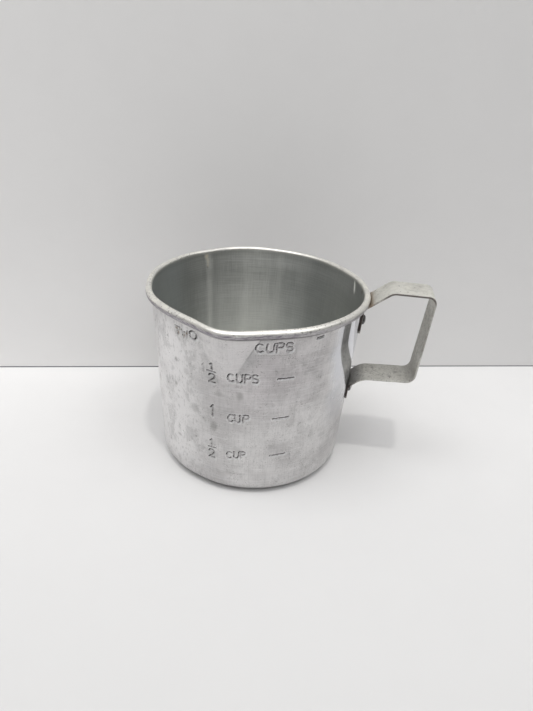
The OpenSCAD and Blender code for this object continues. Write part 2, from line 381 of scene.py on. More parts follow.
def build_cup():
    """The cup's mesh, and for each of its vertices the face that it is on."""
    loop = np.array(sheet_profile())
    cols = cup_columns()
    n, m = len(loop), len(cols)
    r, z, side = (loop[:, i][:, None] + np.zeros(m) for i in range(3))
    az = np.zeros(n)[:, None] + cols
    shift = wall_shift(az.ravel(), z.ravel()).reshape(n, m) * smooth(r, 20, BASE_R)
    outside = ((side == OUTSIDE) & (r > 38)).ravel()
    cut, lip = (part * outside for part in groove(az.ravel(), z.ravel()))
    # which side of a stroke each spot is on: the upper left one gets painted shade, the lower right one a
    # painted highlight
    step_az, step_z = 0.12, 0.2
    lower, upper = (groove(az.ravel() + way * step_az, z.ravel() - way * step_z)[0] for way in (1, -1))
    pressed = r + shift - (STROKE_DEPTH * cut - STROKE_LIP * lip).reshape(n, m)
    level = z + rim_drop(az, z)
    x, y = pressed * np.cos(np.radians(az)) * MM, pressed * np.sin(np.radians(az)) * MM
    verts = np.stack([x, y, level * MM], axis=-1).reshape(-1, 3).tolist()
    verts += [(0, 0, (SHEET + BASE_RISE) * MM), (0, 0, BASE_RISE * MM)]
    # the rings go down the outside, against the way that the columns turn, so the faces are turned over
    faces = [face[:1] + face[:0:-1] for face in tube(n, m) + fans(n, m)]
    cup = new_mesh("cup_shell_worn", verts, faces)
    paint(cup, "groove", list(cut) + [0, 0])
    paint(cup, "pushed", list(lip) + [0, 0])
    paint(cup, "stroke_light_and_shade", list((lower - upper) * outside) + [0, 0])
    face = np.array(list(side.ravel()) + [INSIDE, OUTSIDE])
    paint(cup, "inside", face == INSIDE)
    return cup, face


# ---- the strap handle
def strap_corners():
    """The strap's centre line as corners (x, z, bend radius), with the heights where its tabs end."""
    half = STRAP_T / 2

    def tab_x(z):
        return wall_r(z) + half + 0.05

    slope_up, slope_down, grip_lean, run_lean = (math.tan(math.radians(a)) for a in (38, 42, 4.4, 3))
    top_z = STRAP_TOP - half
    run_z = RUN_Z + half
    upper_z = WALL_TOP - 1.5
    lower_z = run_z - 4.6
    grip_x = GRIP_REACH - half
    low_x = grip_x - (top_z - run_z) * grip_lean
    foot_x = tab_x(lower_z) + (run_z - lower_z) / slope_down
    corners = [
        (tab_x(TAB_TOP), TAB_TOP, 0), (tab_x(upper_z), upper_z, 2.5),
        (tab_x(upper_z) + (top_z - upper_z) / slope_up, top_z, 5.0), (grip_x, top_z, 3.2),
        (low_x, run_z + (low_x - foot_x) * run_lean, 4.0), (foot_x, run_z, 9.0),
        (tab_x(lower_z), lower_z, 3.5), (tab_x(TAB_FOOT), TAB_FOOT, 0),
    ]
    return corners, upper_z, lower_z


def rounded(corners, steps=10):
    """The corners' path with each bend as an arc of its own radius."""
    pts = [Vector(corner[:2]) for corner in corners]
    out = [pts[0]]
    for i in range(1, len(pts) - 1):
        radius = corners[i][2]
        before, after = (pts[i] - pts[i - 1]).normalized(), (pts[i + 1] - pts[i]).normalized()
        angle = before.angle(after)
        start = pts[i] - before * radius * math.tan(angle / 2)
        sign = 1 if before.x * after.y - before.y * after.x > 0 else -1
        centre = start + Vector((-before.y, before.x)) * radius * sign
        arm = start - centre
        for k in range(steps + 1):
            c, s = math.cos(sign * angle * k / steps), math.sin(sign * angle * k / steps)
            out.append(centre + Vector((arm.x * c - arm.y * s, arm.x * s + arm.y * c)))
    return out + [pts[-1]]


def dense(path, step=0.7):
    """The same path with points no further apart than about one step."""
    out = [path[0]]
    for a, b in zip(path, path[1:]):
        n = max(1, int((b - a).length / step))
        out += [a.lerp(b, (i + 1) / n) for i in range(n)]
    return out


def strap_section():
    """Round-edged section, as (across -1..1, offset -1..1), anticlockwise."""
    pts = []
    flat, bend = 18, 4
    edge, lift = 0.022, 0.32
    for sx, sy, start in ((1, -1, -90), (1, 1, 0), (-1, 1, 90), (-1, -1, 180)):
        for i in range(bend + 1):
            a = math.radians(start + 90 * i / bend)
            pts.append((sx * (1 - edge) + edge * math.cos(a), sy * (1 - lift) + lift * math.sin(a)))
        if sx == sy:
            run = (2 - 2 * edge) / flat
            pts += [(sx * (1 - edge - run * i), sy) for i in range(1, flat)]
    return pts


def wall_bend(z):
    """How far the wall is bent out at the handle's azimuth."""
    return float(out_of_round(np.array([0.0]), np.array([z]))[0])


def strap_ring(path, length, s, bend_z):
    """The strap's section at the distance s along its path, as vertices."""
    total = length[-1]
    i = min(max(k for k in range(len(length)) if length[k] <= s), len(path) - 2)
    here = path[i].lerp(path[i + 1], (s - length[i]) / (length[i + 1] - length[i]))
    tangent = (path[min(i + 2, len(path) - 1)] - path[max(i - 1, 0)]).normalized()
    normal = Vector((-tangent.y, tangent.x))
    from_end = min(s, total - s)
    half_w = STRAP_W / 2
    if from_end < TAB_CORNER:
        half_w -= TAB_CORNER - math.sqrt(TAB_CORNER**2 - (TAB_CORNER - from_end) ** 2)
    thick = STRAP_T / 2 * (0.72 + 0.28 * min(from_end / 0.35, 1))
    # the tabs are curved to the wall
    on_wall = here.x < wall_r(here.y) + 5
    wrap = 1 - float(smooth(here.y, bend_z - 1.5, bend_z + 2.5)) if on_wall else 0.0
    # the grip is twisted a little towards its lower end
    twist = math.tan(math.radians(2.4)) * float(smooth(s, 46, 82)) * (1 - float(smooth(s, 92, 112)))
    curve = wall_r(here.y) + STRAP_T / 2
    ring = []
    for u, v in strap_section():
        across, off = u * half_w, v * thick
        x, z = here.x + normal.x * off, here.y + normal.y * off
        x -= wrap * (curve - math.sqrt(curve**2 - across**2))
        x += wrap * wall_bend(z) - across * twist
        ring.append((x * MM, across * MM, z * MM))
    return ring


def build_strap():
    """The strap's mesh: rings of its section along its bent centre line, with a flat cap at each end."""
    corners, upper_z, lower_z = strap_corners()
    path = dense(rounded(corners))
    length = [0.0]
    for a, b in zip(path, path[1:]):
        length.append(length[-1] + (b - a).length)
    total = length[-1]
    # rounded tab ends need close stations
    ends = [0.04, 0.15, 0.35, 0.6, 0.9, 1.3, 1.8, 2.4, 3.0]
    stations = ends + [s for s in length if 3.4 < s < total - 3.4] + [total - e for e in reversed(ends)]
    verts = []
    for s in stations:
        verts += strap_ring(path, length, s, upper_z if s < total / 2 else lower_z)
    n = len(strap_section())
    caps = [tuple(reversed(range(n))), tuple(range(len(verts) - n, len(verts)))]
    return new_mesh("handle_strap_bent", verts, tube(len(stations), n) + caps)


# ---- rivets
def rivet_profile():
    """The rivet's outline as (radius, distance out of the wall), from the inner head to the dome's top."""
    shank, head, dome, inner_head = 1.5, 2.3, 1.6, 0.9
    low = -SHEET - inner_head
    edge = 0.35                     # rounding of the inner head
    profile = [(0.0, low)]
    profile += arc_points(head * 0.72, low + edge, head * 0.28, edge, -90, 0, 6)
    profile += [(head, -SHEET - 0.12), (head - 0.08, -SHEET + 0.02), (shank + 0.25, -SHEET + 0.02)]
    profile += [(shank, -SHEET + 0.12), (shank, STRAP_T - 0.1), (shank + 0.25, STRAP_T - 0.01)]
    profile += [(head - 0.1, STRAP_T - 0.01), (head, STRAP_T + 0.12)]
    for i in range(1, 11):
        a = math.radians(90 * i / 11)
        profile.append((head * math.cos(a) ** 0.85, STRAP_T + 0.12 + (dome - 0.12) * math.sin(a)))
    return profile + [(0.0, STRAP_T + dome)]


def build_rivet(name, z):
    """One rivet's mesh, slightly out of round, standing square to the wall at height z."""
    profile = rivet_profile()
    verts, m = [], 40
    for r, out in profile[1:-1]:
        for j in range(m):
            a = math.tau * j / m
            rough = 1 + 0.025 * math.sin(2 * a + z) + 0.015 * math.sin(5 * a + 2 * z)
            verts.append((out, r * rough * math.cos(a), r * rough * math.sin(a)))
    verts += [(profile[0][1], 0, 0), (profile[-1][1], 0, 0)]
    lean = Matrix.Rotation(math.atan(TAPER), 4, "Y")
    place = Matrix.Translation((wall_r(z) + wall_bend(z), 0, z)) @ lean
    rings = len(profile) - 2
    return new_mesh(name, [tuple((place @ Vector(v)) * MM) for v in verts], tube(rings, m) + fans(rings, m))


# ---- materials
class Nodes:
    """A few short calls for building the node tree of a material or a world."""

    def __init__(self, owner):
        owner.use_nodes = True
        self.owner = owner
        self.tree = owner.node_tree
        self.tree.nodes.clear()

    def add(self, kind, inputs=(), output=0, **settings):
        """One output of a new node, whose inputs are given as numbers, colours or other nodes' outputs."""
        node = self.tree.nodes.new("ShaderNode" + kind)
        for key, value in settings.items():
            setattr(node, key, value)
        for key, value in dict(inputs).items():
            if isinstance(value, bpy.types.NodeSocket):
                self.tree.links.new(value, node.inputs[key])
            elif value is not None:
                node.inputs[key].default_value = value
        return node.outputs[output]

    def finish(self, result, output="OutputMaterial"):
        """Send the result to the output node and return the material or world."""
        self.tree.links.new(result, self.tree.nodes.new("ShaderNode" + output).inputs[0])
        return self.owner

    def math(self, operation, a, b=None, c=None, clamp=False):
        return self.add("Math", enumerate((a, b, c)), operation=operation, use_clamp=clamp)

    def joined(self, operation, parts):
        total = parts[0]
        for part in parts[1:]:
            total = self.math(operation, total, part)
        return total

    def plus(self, *parts):
        return self.joined("ADD", parts)

    def times(self, *parts):
        return self.joined("MULTIPLY", parts)

    def minus(self, a, b, clamp=False):
        return self.math("SUBTRACT", a, b, clamp=clamp)

    def blend(self, share, a, b):
        """A number between a and b."""
        return self.math("MULTIPLY_ADD", share, self.minus(b, a), a)

    def range(self, value, a, b, c=0.0, d=1.0, soft=True):
        """Value mapped from a..b to c..d."""
        limits = {"From Min": a, "From Max": b, "To Min": c, "To Max": d}
        step = "SMOOTHSTEP" if soft else "LINEAR"
        return self.add("MapRange", {"Value": value} | limits, interpolation_type=step)

    def mix(self, share, a, b):
        """A colour between a and b."""
        return self.add("Mix", {0: share, 6: a, 7: b}, output=2, data_type="RGBA")

    def layered(self, tone, layers):
        """A colour under layers of (colour, factors of its share), where a painted value goes by its name."""
        for colour, *factors in layers:
            factors = [self.painted(factor) if isinstance(factor, str) else factor for factor in factors]
            tone = self.mix(self.times(*factors), tone, colour)
        return tone

    def noise(self, vector, scale, detail=2.0, rough=0.5):
        return self.add("TexNoise", {"Vector": vector, "Scale": scale, "Detail": detail, "Roughness": rough})

    def vector(self, x, y, z):
        return self.add("CombineXYZ", {"X": x, "Y": y, "Z": z})

    def painted(self, name):
        """A value that paint() gave to the mesh's vertices."""
        return self.add("Attribute", {}, output=2, attribute_name=name)

    def split(self, vector):
        node = self.tree.nodes.new("ShaderNodeSeparateXYZ")
        self.tree.links.new(vector, node.inputs[0])
        return node.outputs

    def position(self):
        """The object's own coordinates in mm."""
        return [self.times(part, 1000.0) for part in self.split(self.add("TexCoord", output=3))]

    def bumped(self, height, strength):
        return self.add("Bump", {"Height": height, "Distance": 0.001, "Strength": strength})


def grey(v, warm=0.0):
    return (v * (1 + warm), v, v * (1 - warm), 1)


class CupPatterns:
    """The noises that the cup's colour, gloss and relief are made of."""

    def __init__(self, n):
        self.n = n
        self.x, self.y, self.z = n.position()
        self.place = n.vector(self.x, self.y, self.z)
        radius = n.math("SQRT", n.plus(n.times(self.x, self.x), n.times(self.y, self.y)))
        self.along = n.plus(self.z, radius)
        self.arc = n.times(n.math("ARCTAN2", self.y, self.x), 45.0)
        self.inside = n.painted("inside")
        self.outside = n.minus(1.0, self.inside)
        self.wear, self.polish, self.bead, self.scuff_and_sheen = map(n.painted, ("wear", "polish", "bead", "scuff_and_sheen"))
        self.brushed = n.minus(1.0, n.math("MAXIMUM", self.polish, n.times(self.bead, 0.7)))
        # turning lines: long around the cup, fine up the wall
        self.lines = self.drawn_out(0.03, 2.6, 0.0, 3.0, 0.6)
        self.rings = self.drawn_out(0.06, 1.8, 9.0, 2.0, 0.7)
        self.bands = self.drawn_out(0.012, 0.45, 3.0)
        self.streaks = self.drawn_out(0.30, 1.7, 15.0, 2.0, 0.6)
        # drawing marks: long up the wall
        self.draws = self.drawn_out(0.35, 0.02, 7.0, 3.0, 0.6)
        self.hairs = self.drawn_out(1.6, 0.07, 5.0, 2.0, 0.7)
        # clouds from large to small
        self.haze = n.noise(self.place, 0.055, 4.0, 0.6)
        self.blotch = n.noise(self.place, 0.21, 3.0, 0.65)
        self.grain = n.noise(self.place, 2.2, 3.0, 0.6)
        self.mottle = n.range(self.drawn_out(0.8, 0.36, 2.0, 3.0, 0.62), 0.57, 0.61)
        squashed = n.vector(self.x, self.y, n.times(self.z, 0.6))
        self.patches = n.range(n.noise(squashed, 0.15, 6.0, 0.72), 0.50, 0.60)
        # small damage
        self.pits = n.range(n.noise(self.place, 0.9, 2.0, 0.7), 0.70, 0.78)
        self.specks = n.range(n.noise(self.place, 1.5, 2.0, 0.8), 0.60, 0.66)
        self.speck_fields = n.range(n.noise(self.place, 0.16, 2.0, 0.5), 0.42, 0.62, 0.15, 0.75)
        raised = n.vector(self.x, self.y, n.plus(self.z, 40.0))
        self.chips = n.range(n.noise(raised, 0.62, 2.0, 0.6), 0.66, 0.69)
        self.flecks = n.range(n.noise(self.place, 0.95, 3.0, 0.6), 0.58, 0.64)
        self.scratch = self.all_scratches()

    def drawn_out(self, around, up, seed, detail=2.0, rough=0.5):
        """Noise stretched along the wall: around and up are its waves per mm."""
        spot = self.n.vector(self.n.times(self.arc, around), self.n.times(self.along, up), seed)
        return self.n.noise(spot, 1.0, detail, rough)

    def scratches(self, angle_deg, spacing, thin, seed):
        """Broken thin lines at an angle to the rim."""
        n = self.n
        c, s = math.cos(math.radians(angle_deg)), math.sin(math.radians(angle_deg))
        u = n.plus(n.times(self.arc, c), n.times(self.along, s))
        v = n.plus(n.times(self.arc, -s), n.times(self.along, c))
        level = n.noise(n.vector(n.times(u, 0.05), n.times(v, spacing), seed), 1.0, 1.0)
        broken = n.noise(n.vector(n.times(u, 0.09), n.times(v, spacing * 0.5), seed + 4.0), 1.0, 1.0)
        thread = n.range(n.math("ABSOLUTE", n.minus(level, 0.5)), 0.0, thin, 1.0, 0.0)
        return n.times(thread, n.range(broken, 0.56, 0.62))

    def all_scratches(self):
        n = self.n
        slanted = n.plus(self.scratches(24, 0.55, 0.010, 1.0), self.scratches(-38, 0.5, 0.009, 12.0))
        level = n.times(self.scratches(3, 0.9, 0.016, 31.0), 0.8)
        return n.times(n.math("MINIMUM", n.plus(slanted, level), 1.0), self.by_face(1.0, 0.15))

    def by_face(self, outside, inside):
        """One amount on the outside of the cup and another on its inside."""
        return self.n.range(self.inside, 0.0, 1.0, outside, inside)


METAL_DARK, METAL_LIGHT = (0.54, 0.527, 0.525, 1), (0.685, 0.674, 0.668, 1)
INSIDE_LIGHT, INSIDE_DARK = (0.735, 0.745, 0.71, 1), (0.575, 0.585, 0.55, 1)


def cup_tone(n, p):
    """The cup's colour, in layers from the bare metal up."""
    tone = n.mix(n.range(p.haze, 0.35, 0.65), METAL_DARK, METAL_LIGHT)
    bare_metal = [
        ((0.50, 0.455, 0.478, 1), "mauve"),
        (grey(0.38, 0.01), n.range(p.blotch, 0.54, 0.70), p.outside, p.brushed, 0.24),
        (grey(0.80), n.range(p.lines, 0.44, 0.60), p.outside, 0.16),
        (grey(0.34), n.range(p.bands, 0.48, 0.62), p.outside, 0.07),
        (grey(0.34), n.range(p.hairs, 0.50, 0.62), p.brushed, p.by_face(0.17, 0.07)),
        (grey(0.80), n.range(p.rings, 0.50, 0.62), p.brushed, p.by_face(0.26, 0.20)),
        (grey(0.20, 0.03), p.specks, p.speck_fields, p.outside, p.brushed),
        (grey(0.18), p.pits, p.brushed, p.by_face(0.55, 0.12)),
        (grey(0.86), p.scratch, 0.18),
        ((0.61, 0.62, 0.655, 1), p.polish, 0.9),
    ]
    # worn metal, with painted highlights on the bead's top and the lip, and painted shade under the bead
    wear = [
        # scuffed white on the left, partly a painted highlight, and a painted highlight on the lip
        ((0.82, 0.81, 0.81, 1), p.scuff_and_sheen, n.range(p.haze, 0.3, 0.6, 0.55, 0.9)),
        (grey(0.33, 0.015), p.mottle, p.wear, 0.30),
        (grey(0.36, 0.01), p.patches, p.wear, 0.37),
        (grey(0.16, 0.04), p.chips, p.wear, p.patches, 0.8),
        # the bead's top painted near-white: worn bright metal and a painted highlight
        ((0.96, 0.945, 0.87, 1), p.bead, n.range(p.blotch, 0.35, 0.7, 0.95, 0.55)),
        # painted shade on the bead's lower half, in streaks
        ((0.235, 0.215, 0.25, 1), "under", n.range(p.streaks, 0.40, 0.60, 0.35, 1.0)),
        (grey(0.25, 0.03), p.flecks, "rim", 0.75),
    ]
    turned = n.plus(n.times(p.hairs, 0.3), n.times(p.rings, 0.4), n.times(p.lines, 0.3))
    inside = [
        (n.mix(n.range(turned, 0.43, 0.57), INSIDE_LIGHT, INSIDE_DARK), p.inside, 0.85),
        ((0.59, 0.655, 0.69, 1), "blue"),
        ((0.36, 0.375, 0.37, 1), "shade"),
    ]
    # a pressed stroke holds grime, with painted shade on its upper left side and a painted highlight on its
    # lower right side
    stroke_light_and_shade = n.painted("stroke_light_and_shade")
    worn = n.range(n.noise(p.place, 0.7, 2.0, 0.6), 0.34, 0.52, 0.45, 1.0)
    strokes = [
        ((0.20, 0.185, 0.195, 1), "groove", worn, 0.62),
        (grey(0.86), "pushed", 0.35),
        (grey(0.92), n.range(stroke_light_and_shade, -0.12, -0.60), 0.75),
        (grey(0.02, 0.06), n.range(stroke_light_and_shade, 0.06, 0.34), worn),
    ]
    broken = n.range(n.noise(p.place, 1.1, 2.0, 0.6), 0.38, 0.58, 0.25, 1.0)
    # stains and smudges, painted reflections inside and painted shade in the crevices
    dirt = [
        (grey(0.24, 0.03), "smudge", 0.6),
        # painted reflections and a painted highlight inside the cup
        ((0.95, 0.95, 0.88, 1), "bright"),
        ((0.70, 0.62, 0.46, 1), "tan", broken),
        # painted shade in the crevices: beside the tabs, in the lip's crease, under the bead and at the foot
        (grey(0.03), "crevice", 0.96),
        ((0.19, 0.135, 0.075, 1), "stain", 0.8),
    ]
    return n.layered(tone, bare_metal + wear + inside + strokes + dirt)


def cup_roughness(n, p):
    rough = n.plus(
        n.range(p.haze, 0.3, 0.7, 0.44, 0.34),
        n.times(n.range(p.blotch, 0.4, 0.75), p.outside, 0.14),
        n.times(n.minus(p.draws, 0.5), 0.14),
    )
    rough = n.blend(p.polish, rough, 0.09)
    rough = n.minus(rough, n.times(p.bead, 0.06))
    return n.minus(rough, n.times(p.scratch, 0.08), clamp=True)


def cup_relief(n, p):
    """The cup's fine relief as a normal."""
    height = n.plus(n.times(p.lines, 0.024), n.times(p.grain, 0.018))
    height = n.plus(height, n.times(p.draws, p.by_face(0.05, 0.022)))
    for hollow in ((p.scratch, 0.03), (p.pits, 0.06), (p.mottle, p.wear, 0.03)):
        height = n.minus(height, n.times(*hollow))
    strength = n.times(n.minus(0.6, n.times(p.polish, 0.57)), p.by_face(1.0, 0.35))
    return n.bumped(height, n.times(strength, n.minus(1.0, n.times(p.bead, 0.5))))


def cup_metalness(n, p):
    """Metal everywhere, less so where scuffed, on the painted highlights and the tan stain inside, and on the
    bead.
    """
    dull_inside = n.times(n.math("MAXIMUM", n.painted("bright"), n.painted("tan")), p.inside, 0.85)
    dull = n.times(n.plus(p.scuff_and_sheen, n.times(p.bead, 0.7)), 0.25)
    return n.minus(n.minus(0.94, dull_inside), dull)


def aluminium_cup():
    n = Nodes(bpy.data.materials.new("worn_drawn_aluminium"))
    p = CupPatterns(n)
    return n.finish(n.add("BsdfPrincipled", {
        "Base Color": cup_tone(n, p), "Metallic": cup_metalness(n, p), "Roughness": cup_roughness(n, p),
        "Normal": cup_relief(n, p), "Anisotropic": 0.55, "Anisotropic Rotation": 0.25,
        "Tangent": n.add("Tangent", direction_type="RADIAL", axis="Z"),
    }))


def aluminium_strap():
    n = Nodes(bpy.data.materials.new("worn_strap_aluminium"))
    x, y, z = n.position()
    place = n.vector(x, y, z)
    lines = n.noise(n.vector(n.times(n.plus(x, z), 0.05), n.times(y, 3.2), 0.0), 1.0, 3.0, 0.6)
    haze = n.noise(place, 0.09, 4.0, 0.6)
    blotch = n.noise(place, 0.35, 3.0, 0.65)
    fine = n.range(n.noise(place, 1.25, 3.0, 0.7), 0.53, 0.62)

    def below_top(on_top, below):
        """One amount on the flat top of the handle and another on the rest."""
        return n.range(z, 88.0, 80.0, on_top, below)

    pits = n.range(n.noise(place, 0.75, 2.0, 0.7), below_top(0.67, 0.64), 0.72)
    pits = n.math("MAXIMUM", pits, n.painted("pit"))
    tone = n.mix(n.range(haze, 0.35, 0.65), (0.56, 0.55, 0.50, 1), (0.74, 0.73, 0.67, 1))
    tone = n.layered(tone, [
        ((0.36, 0.35, 0.31, 1), n.range(blotch, 0.5, 0.7), 0.42),
        # painted shade: the strap darker below its flat top
        (grey(0.25, 0.03), n.range(z, 87.0, 80.0, 0.0, 0.22)),
        ((0.80, 0.80, 0.76, 1), n.range(lines, 0.4, 0.62), 0.18),
        (grey(0.24, 0.04), fine, below_top(0.10, 0.58)),
        (grey(0.08, 0.05), pits, 0.85),
        # painted shade on the strap near the wall and in its lower bend
        (grey(0.10, 0.03), "root"),
        # painted shade on the cut edges
        ((0.066, 0.050, 0.046, 1), "edge"),
        ((0.25, 0.17, 0.09, 1), "stain", 0.75),
    ])
    rough = n.plus(0.40, n.times(n.range(blotch, 0.4, 0.7), 0.18))
    height = n.minus(n.plus(n.times(lines, 0.03), n.times(blotch, 0.05)), n.times(pits, 0.10))
    return n.finish(n.add("BsdfPrincipled", {
        "Base Color": tone, "Metallic": 0.62, "Roughness": rough, "Normal": n.bumped(height, 0.6),
    }))


def aluminium_rivet():
    n = Nodes(bpy.data.materials.new("worn_rivet_aluminium"))
    place = n.vector(*n.position())
    blotch = n.noise(place, 0.8, 3.0, 0.6)
    fine = n.noise(place, 4.0, 2.0, 0.6)
    tone = n.mix(n.range(blotch, 0.4, 0.65), grey(0.62), grey(0.40, 0.02))
    tone = n.layered(tone, [
        (grey(0.2), n.range(fine, 0.6, 0.72), 0.5),
        # a dark ring around the outer head: grime and painted shade
        (grey(0.05, 0.02), "dirt"),
    ])
    height = n.plus(n.times(blotch, 0.2), n.times(fine, 0.05))
    return n.finish(n.add("BsdfPrincipled", {
        "Base Color": tone, "Metallic": 0.92, "Roughness": 0.42, "Normal": n.bumped(height, 0.5),
    }))


# ---- where the worn and dirty places are, and where light and shade are painted
class Places:
    """Where each vertex of a mesh is, in mm and degrees."""

    def __init__(self, obj):
        flat = np.empty(len(obj.data.vertices) * 3)
        obj.data.vertices.foreach_get("co", flat)
        self.x, self.y, self.z = (flat.reshape(-1, 3) / MM).T
        self.az = np.degrees(np.arctan2(self.y, self.x))
        self.radius = np.hypot(self.x, self.y)

    def around(self, centre, width):
        """A soft upright band, width in degrees."""
        return bump(turn_from(self.az, centre), width)

    def spots(self, places):
        """The strongest of soft spots given as (azimuth, height, radius across, radius up, amount)."""
        total = np.zeros_like(self.az)
        for centre, height, across, up, amount in places:
            arc = np.radians(turn_from(self.az, centre)) * 45.5
            far = np.hypot(arc / across, (self.z - height) / up)
            total = np.maximum(total, amount * np.exp(-(far**4)))
        return total


class CupPlaces(Places):
    """The parts of the cup's surface, each a mask or a measure per vertex."""

    def __init__(self, cup, face):
        super().__init__(cup)
        shift = wall_shift(self.az, self.z)
        self.face = face
        self.round_r = self.radius - shift                  # radius as if the cup were round
        self.level_z = self.z - rim_drop(self.az, self.z)   # height as if the rim were level
        on_wall = self.radius > wall_r(self.z) - 0.4 + shift
        self.outer = (face == OUTSIDE) & on_wall & (self.z < WALL_TOP)
        below_ridge = self.level_z < CUP_H - 1.2
        self.inner = (face < OUTSIDE) & (self.z > 0.9) & below_ridge & (self.round_r < MOUTH_R)
        self.near_bead = (self.radius > 46) & (face == OUTSIDE) | (self.round_r > RIM_R - 2.4)
        self.lip_turn = turn_from(self.az, LIP_AZ)
        self.lip_rise = np.clip((self.z - LIP_ROOT) / (CUP_H - LIP_ROOT), 0.001, 1)

    def past_crease(self, side, before, after):
        """A soft step across the lip's left (0) or right (1) crease, from before to after it in degrees."""
        at = CREASES[side] * self.lip_rise * (1 if side else -1)
        return smooth(self.lip_turn, at + before, at + after)


# brown dirt on the outside: on the strap's side of the bead and in the worn letters
STAINS = [
    (0, 82.6, 1.2, 1.0, 0.9), (9, 81.9, 1.0, 1.0, 0.9), (-9, 81.9, 1.0, 1.0, 0.9),
    (-126.7, 76.3, 0.8, 0.5, 0.8), (-125.3, 74.7, 0.5, 0.9, 0.9), (-121.4, 74.5, 0.5, 0.8, 0.8),
    (-119.6, 75.7, 0.4, 0.7, 0.7), (-124.2, 76.6, 0.5, 0.4, 0.6),
]
# the yellowish run down the inside, and the dark dot at its end
TANS = [(132.8, 82.0, 1.1, 1.5, 0.85), (131.8, 79.4, 0.7, 1.3, 0.75), (132.2, 77.2, 0.6, 0.7, 0.7)]
RUN_END = [(132.4, 76.2, 0.35, 0.6, 0.5)]
# a worn row of dots under the upper word
DOTS = [
    (-83 + 1.3 * i, 72.5 + 0.1 * math.sin(5 * i), 0.30, 0.26, 0.75 + 0.2 * math.sin(3 * i)) for i in range(14)
]
SMUDGES = [
    (-89.8, 52.8, 1.5, 1.9, 0.8), (-101.0, 52.2, 1.7, 1.4, 0.6), (-103.9, 34.9, 1.7, 2.4, 0.9),
    (-128.5, 61.2, 0.9, 1.1, 0.7), (-129.9, 48.9, 0.9, 1.2, 0.8), (-121.0, 57.7, 1.6, 1.6, 0.4),
    (-129.2, 21.8, 1.6, 0.7, 0.7), (-151.2, 43.7, 1.2, 1.6, 0.6), (-115.7, 41.3, 2.4, 2.0, 0.6),
    (-94.7, 11.2, 2.0, 1.2, 0.35), (-50.0, 78.1, 1.4, 0.5, 0.8), (-57.5, 66.9, 1.2, 1.0, 0.4),
    (-114.6, 67.4, 1.0, 2.6, 0.35), (-83.0, 13.3, 2.6, 1.2, 0.25), (-104.6, 58.5, 2.2, 2.6, 0.45),
    (-104.8, 19.8, 2.2, 2.8, 0.55), (-89.3, 23.6, 3.0, 1.8, 0.3), (-104.5, 25.8, 1.2, 1.8, 0.4),
    (-127.0, 75.0, 1.8, 1.6, 0.4), (-104.5, 42.6, 1.6, 3.0, 0.35),
]
# (azimuth, width in degrees, amount): light upright bands inside the cup, painted reflections
BANDS = [
    (139, 6.0, 0.06), (131, 2.1, 0.25), (123, 2.4, 0.08), (106, 3.8, 0.10), (92, 2.4, 0.07), (84, 2.8, 0.09),
    (70, 5.0, 0.04), (64, 13.0, 0.07),
]


def paint_stains_and_shade(cup, at):
    """Stains and smudges, and painted shade beside the tabs, in the lip's crease, under the bead and at the
    foot.
    """
    paint(cup, "stain", np.maximum(at.spots(STAINS), at.spots(RUN_END) * ~at.outer))
    paint(cup, "tan", at.spots(TANS) * ~at.outer)
    paint(cup, "smudge", at.spots(DOTS + SMUDGES) * at.outer)
    # painted shade beside the strap's tabs, in the lip's right crease, under the bead and along the foot
    tab_arc = np.abs(np.radians(turn_from(at.az, 0)) * wall_r(at.z))
    beside_tab = smooth(tab_arc, 6.6, 7.2) * (1 - smooth(tab_arc, 8.0, 9.2))
    upper_tab = smooth(at.z, 66, 67) * (1 - smooth(at.z, 79.5, 80.5))
    lower_tab = smooth(at.z, 31.5, 32.6) * (1 - smooth(at.z, 41, 43))
    crease = 0.42 * bump(at.lip_turn - CREASES[1] * at.lip_rise, 0.40) * smooth(at.z, 62, 74)
    on_wall = np.maximum(0.85 * beside_tab * (upper_tab + lower_tab), crease) * at.outer
    under_bead = smooth(at.level_z, 79.6, 80.4) * (1 - smooth(at.level_z, 81.2, 81.7)) * at.near_bead
    foot_edge = (1 - smooth(at.z, 0.35, 1.5)) * (at.face == OUTSIDE) * (at.radius > 35)
    paint(cup, "crevice", np.maximum.reduce([0.9 * under_bead, on_wall, 0.75 * foot_edge]))


def paint_rim(cup, at):
    """The bead: near-white on top, worn bright and a painted highlight, painted shade on its lower half, and
    flecked where it is knocked most.
    """
    # painted shade on the bead's lower half, weaker to the right
    low_bead = smooth(at.level_z, 81.1, 81.5) * (1 - smooth(at.level_z, 82.9, 83.7))
    less_shade_right = 1 - 0.5 * smooth(at.az, -78, -52) * (1 - smooth(at.az, 20, 60))
    paint(cup, "under", low_bead * at.near_bead * (at.round_r > RIM_R - 1.5) * less_shade_right)
    knocked = np.maximum(smooth(-at.az, 108, 130), at.around(-48, 26))
    paint(cup, "rim", at.near_bead * (at.z > WALL_TOP) * (0.25 + 0.75 * knocked))
    # the bead's top, painted near-white: worn bright metal and a painted highlight
    paint(cup, "bead", smooth(at.level_z, WALL_TOP + 1.7, WALL_TOP + 2.9))


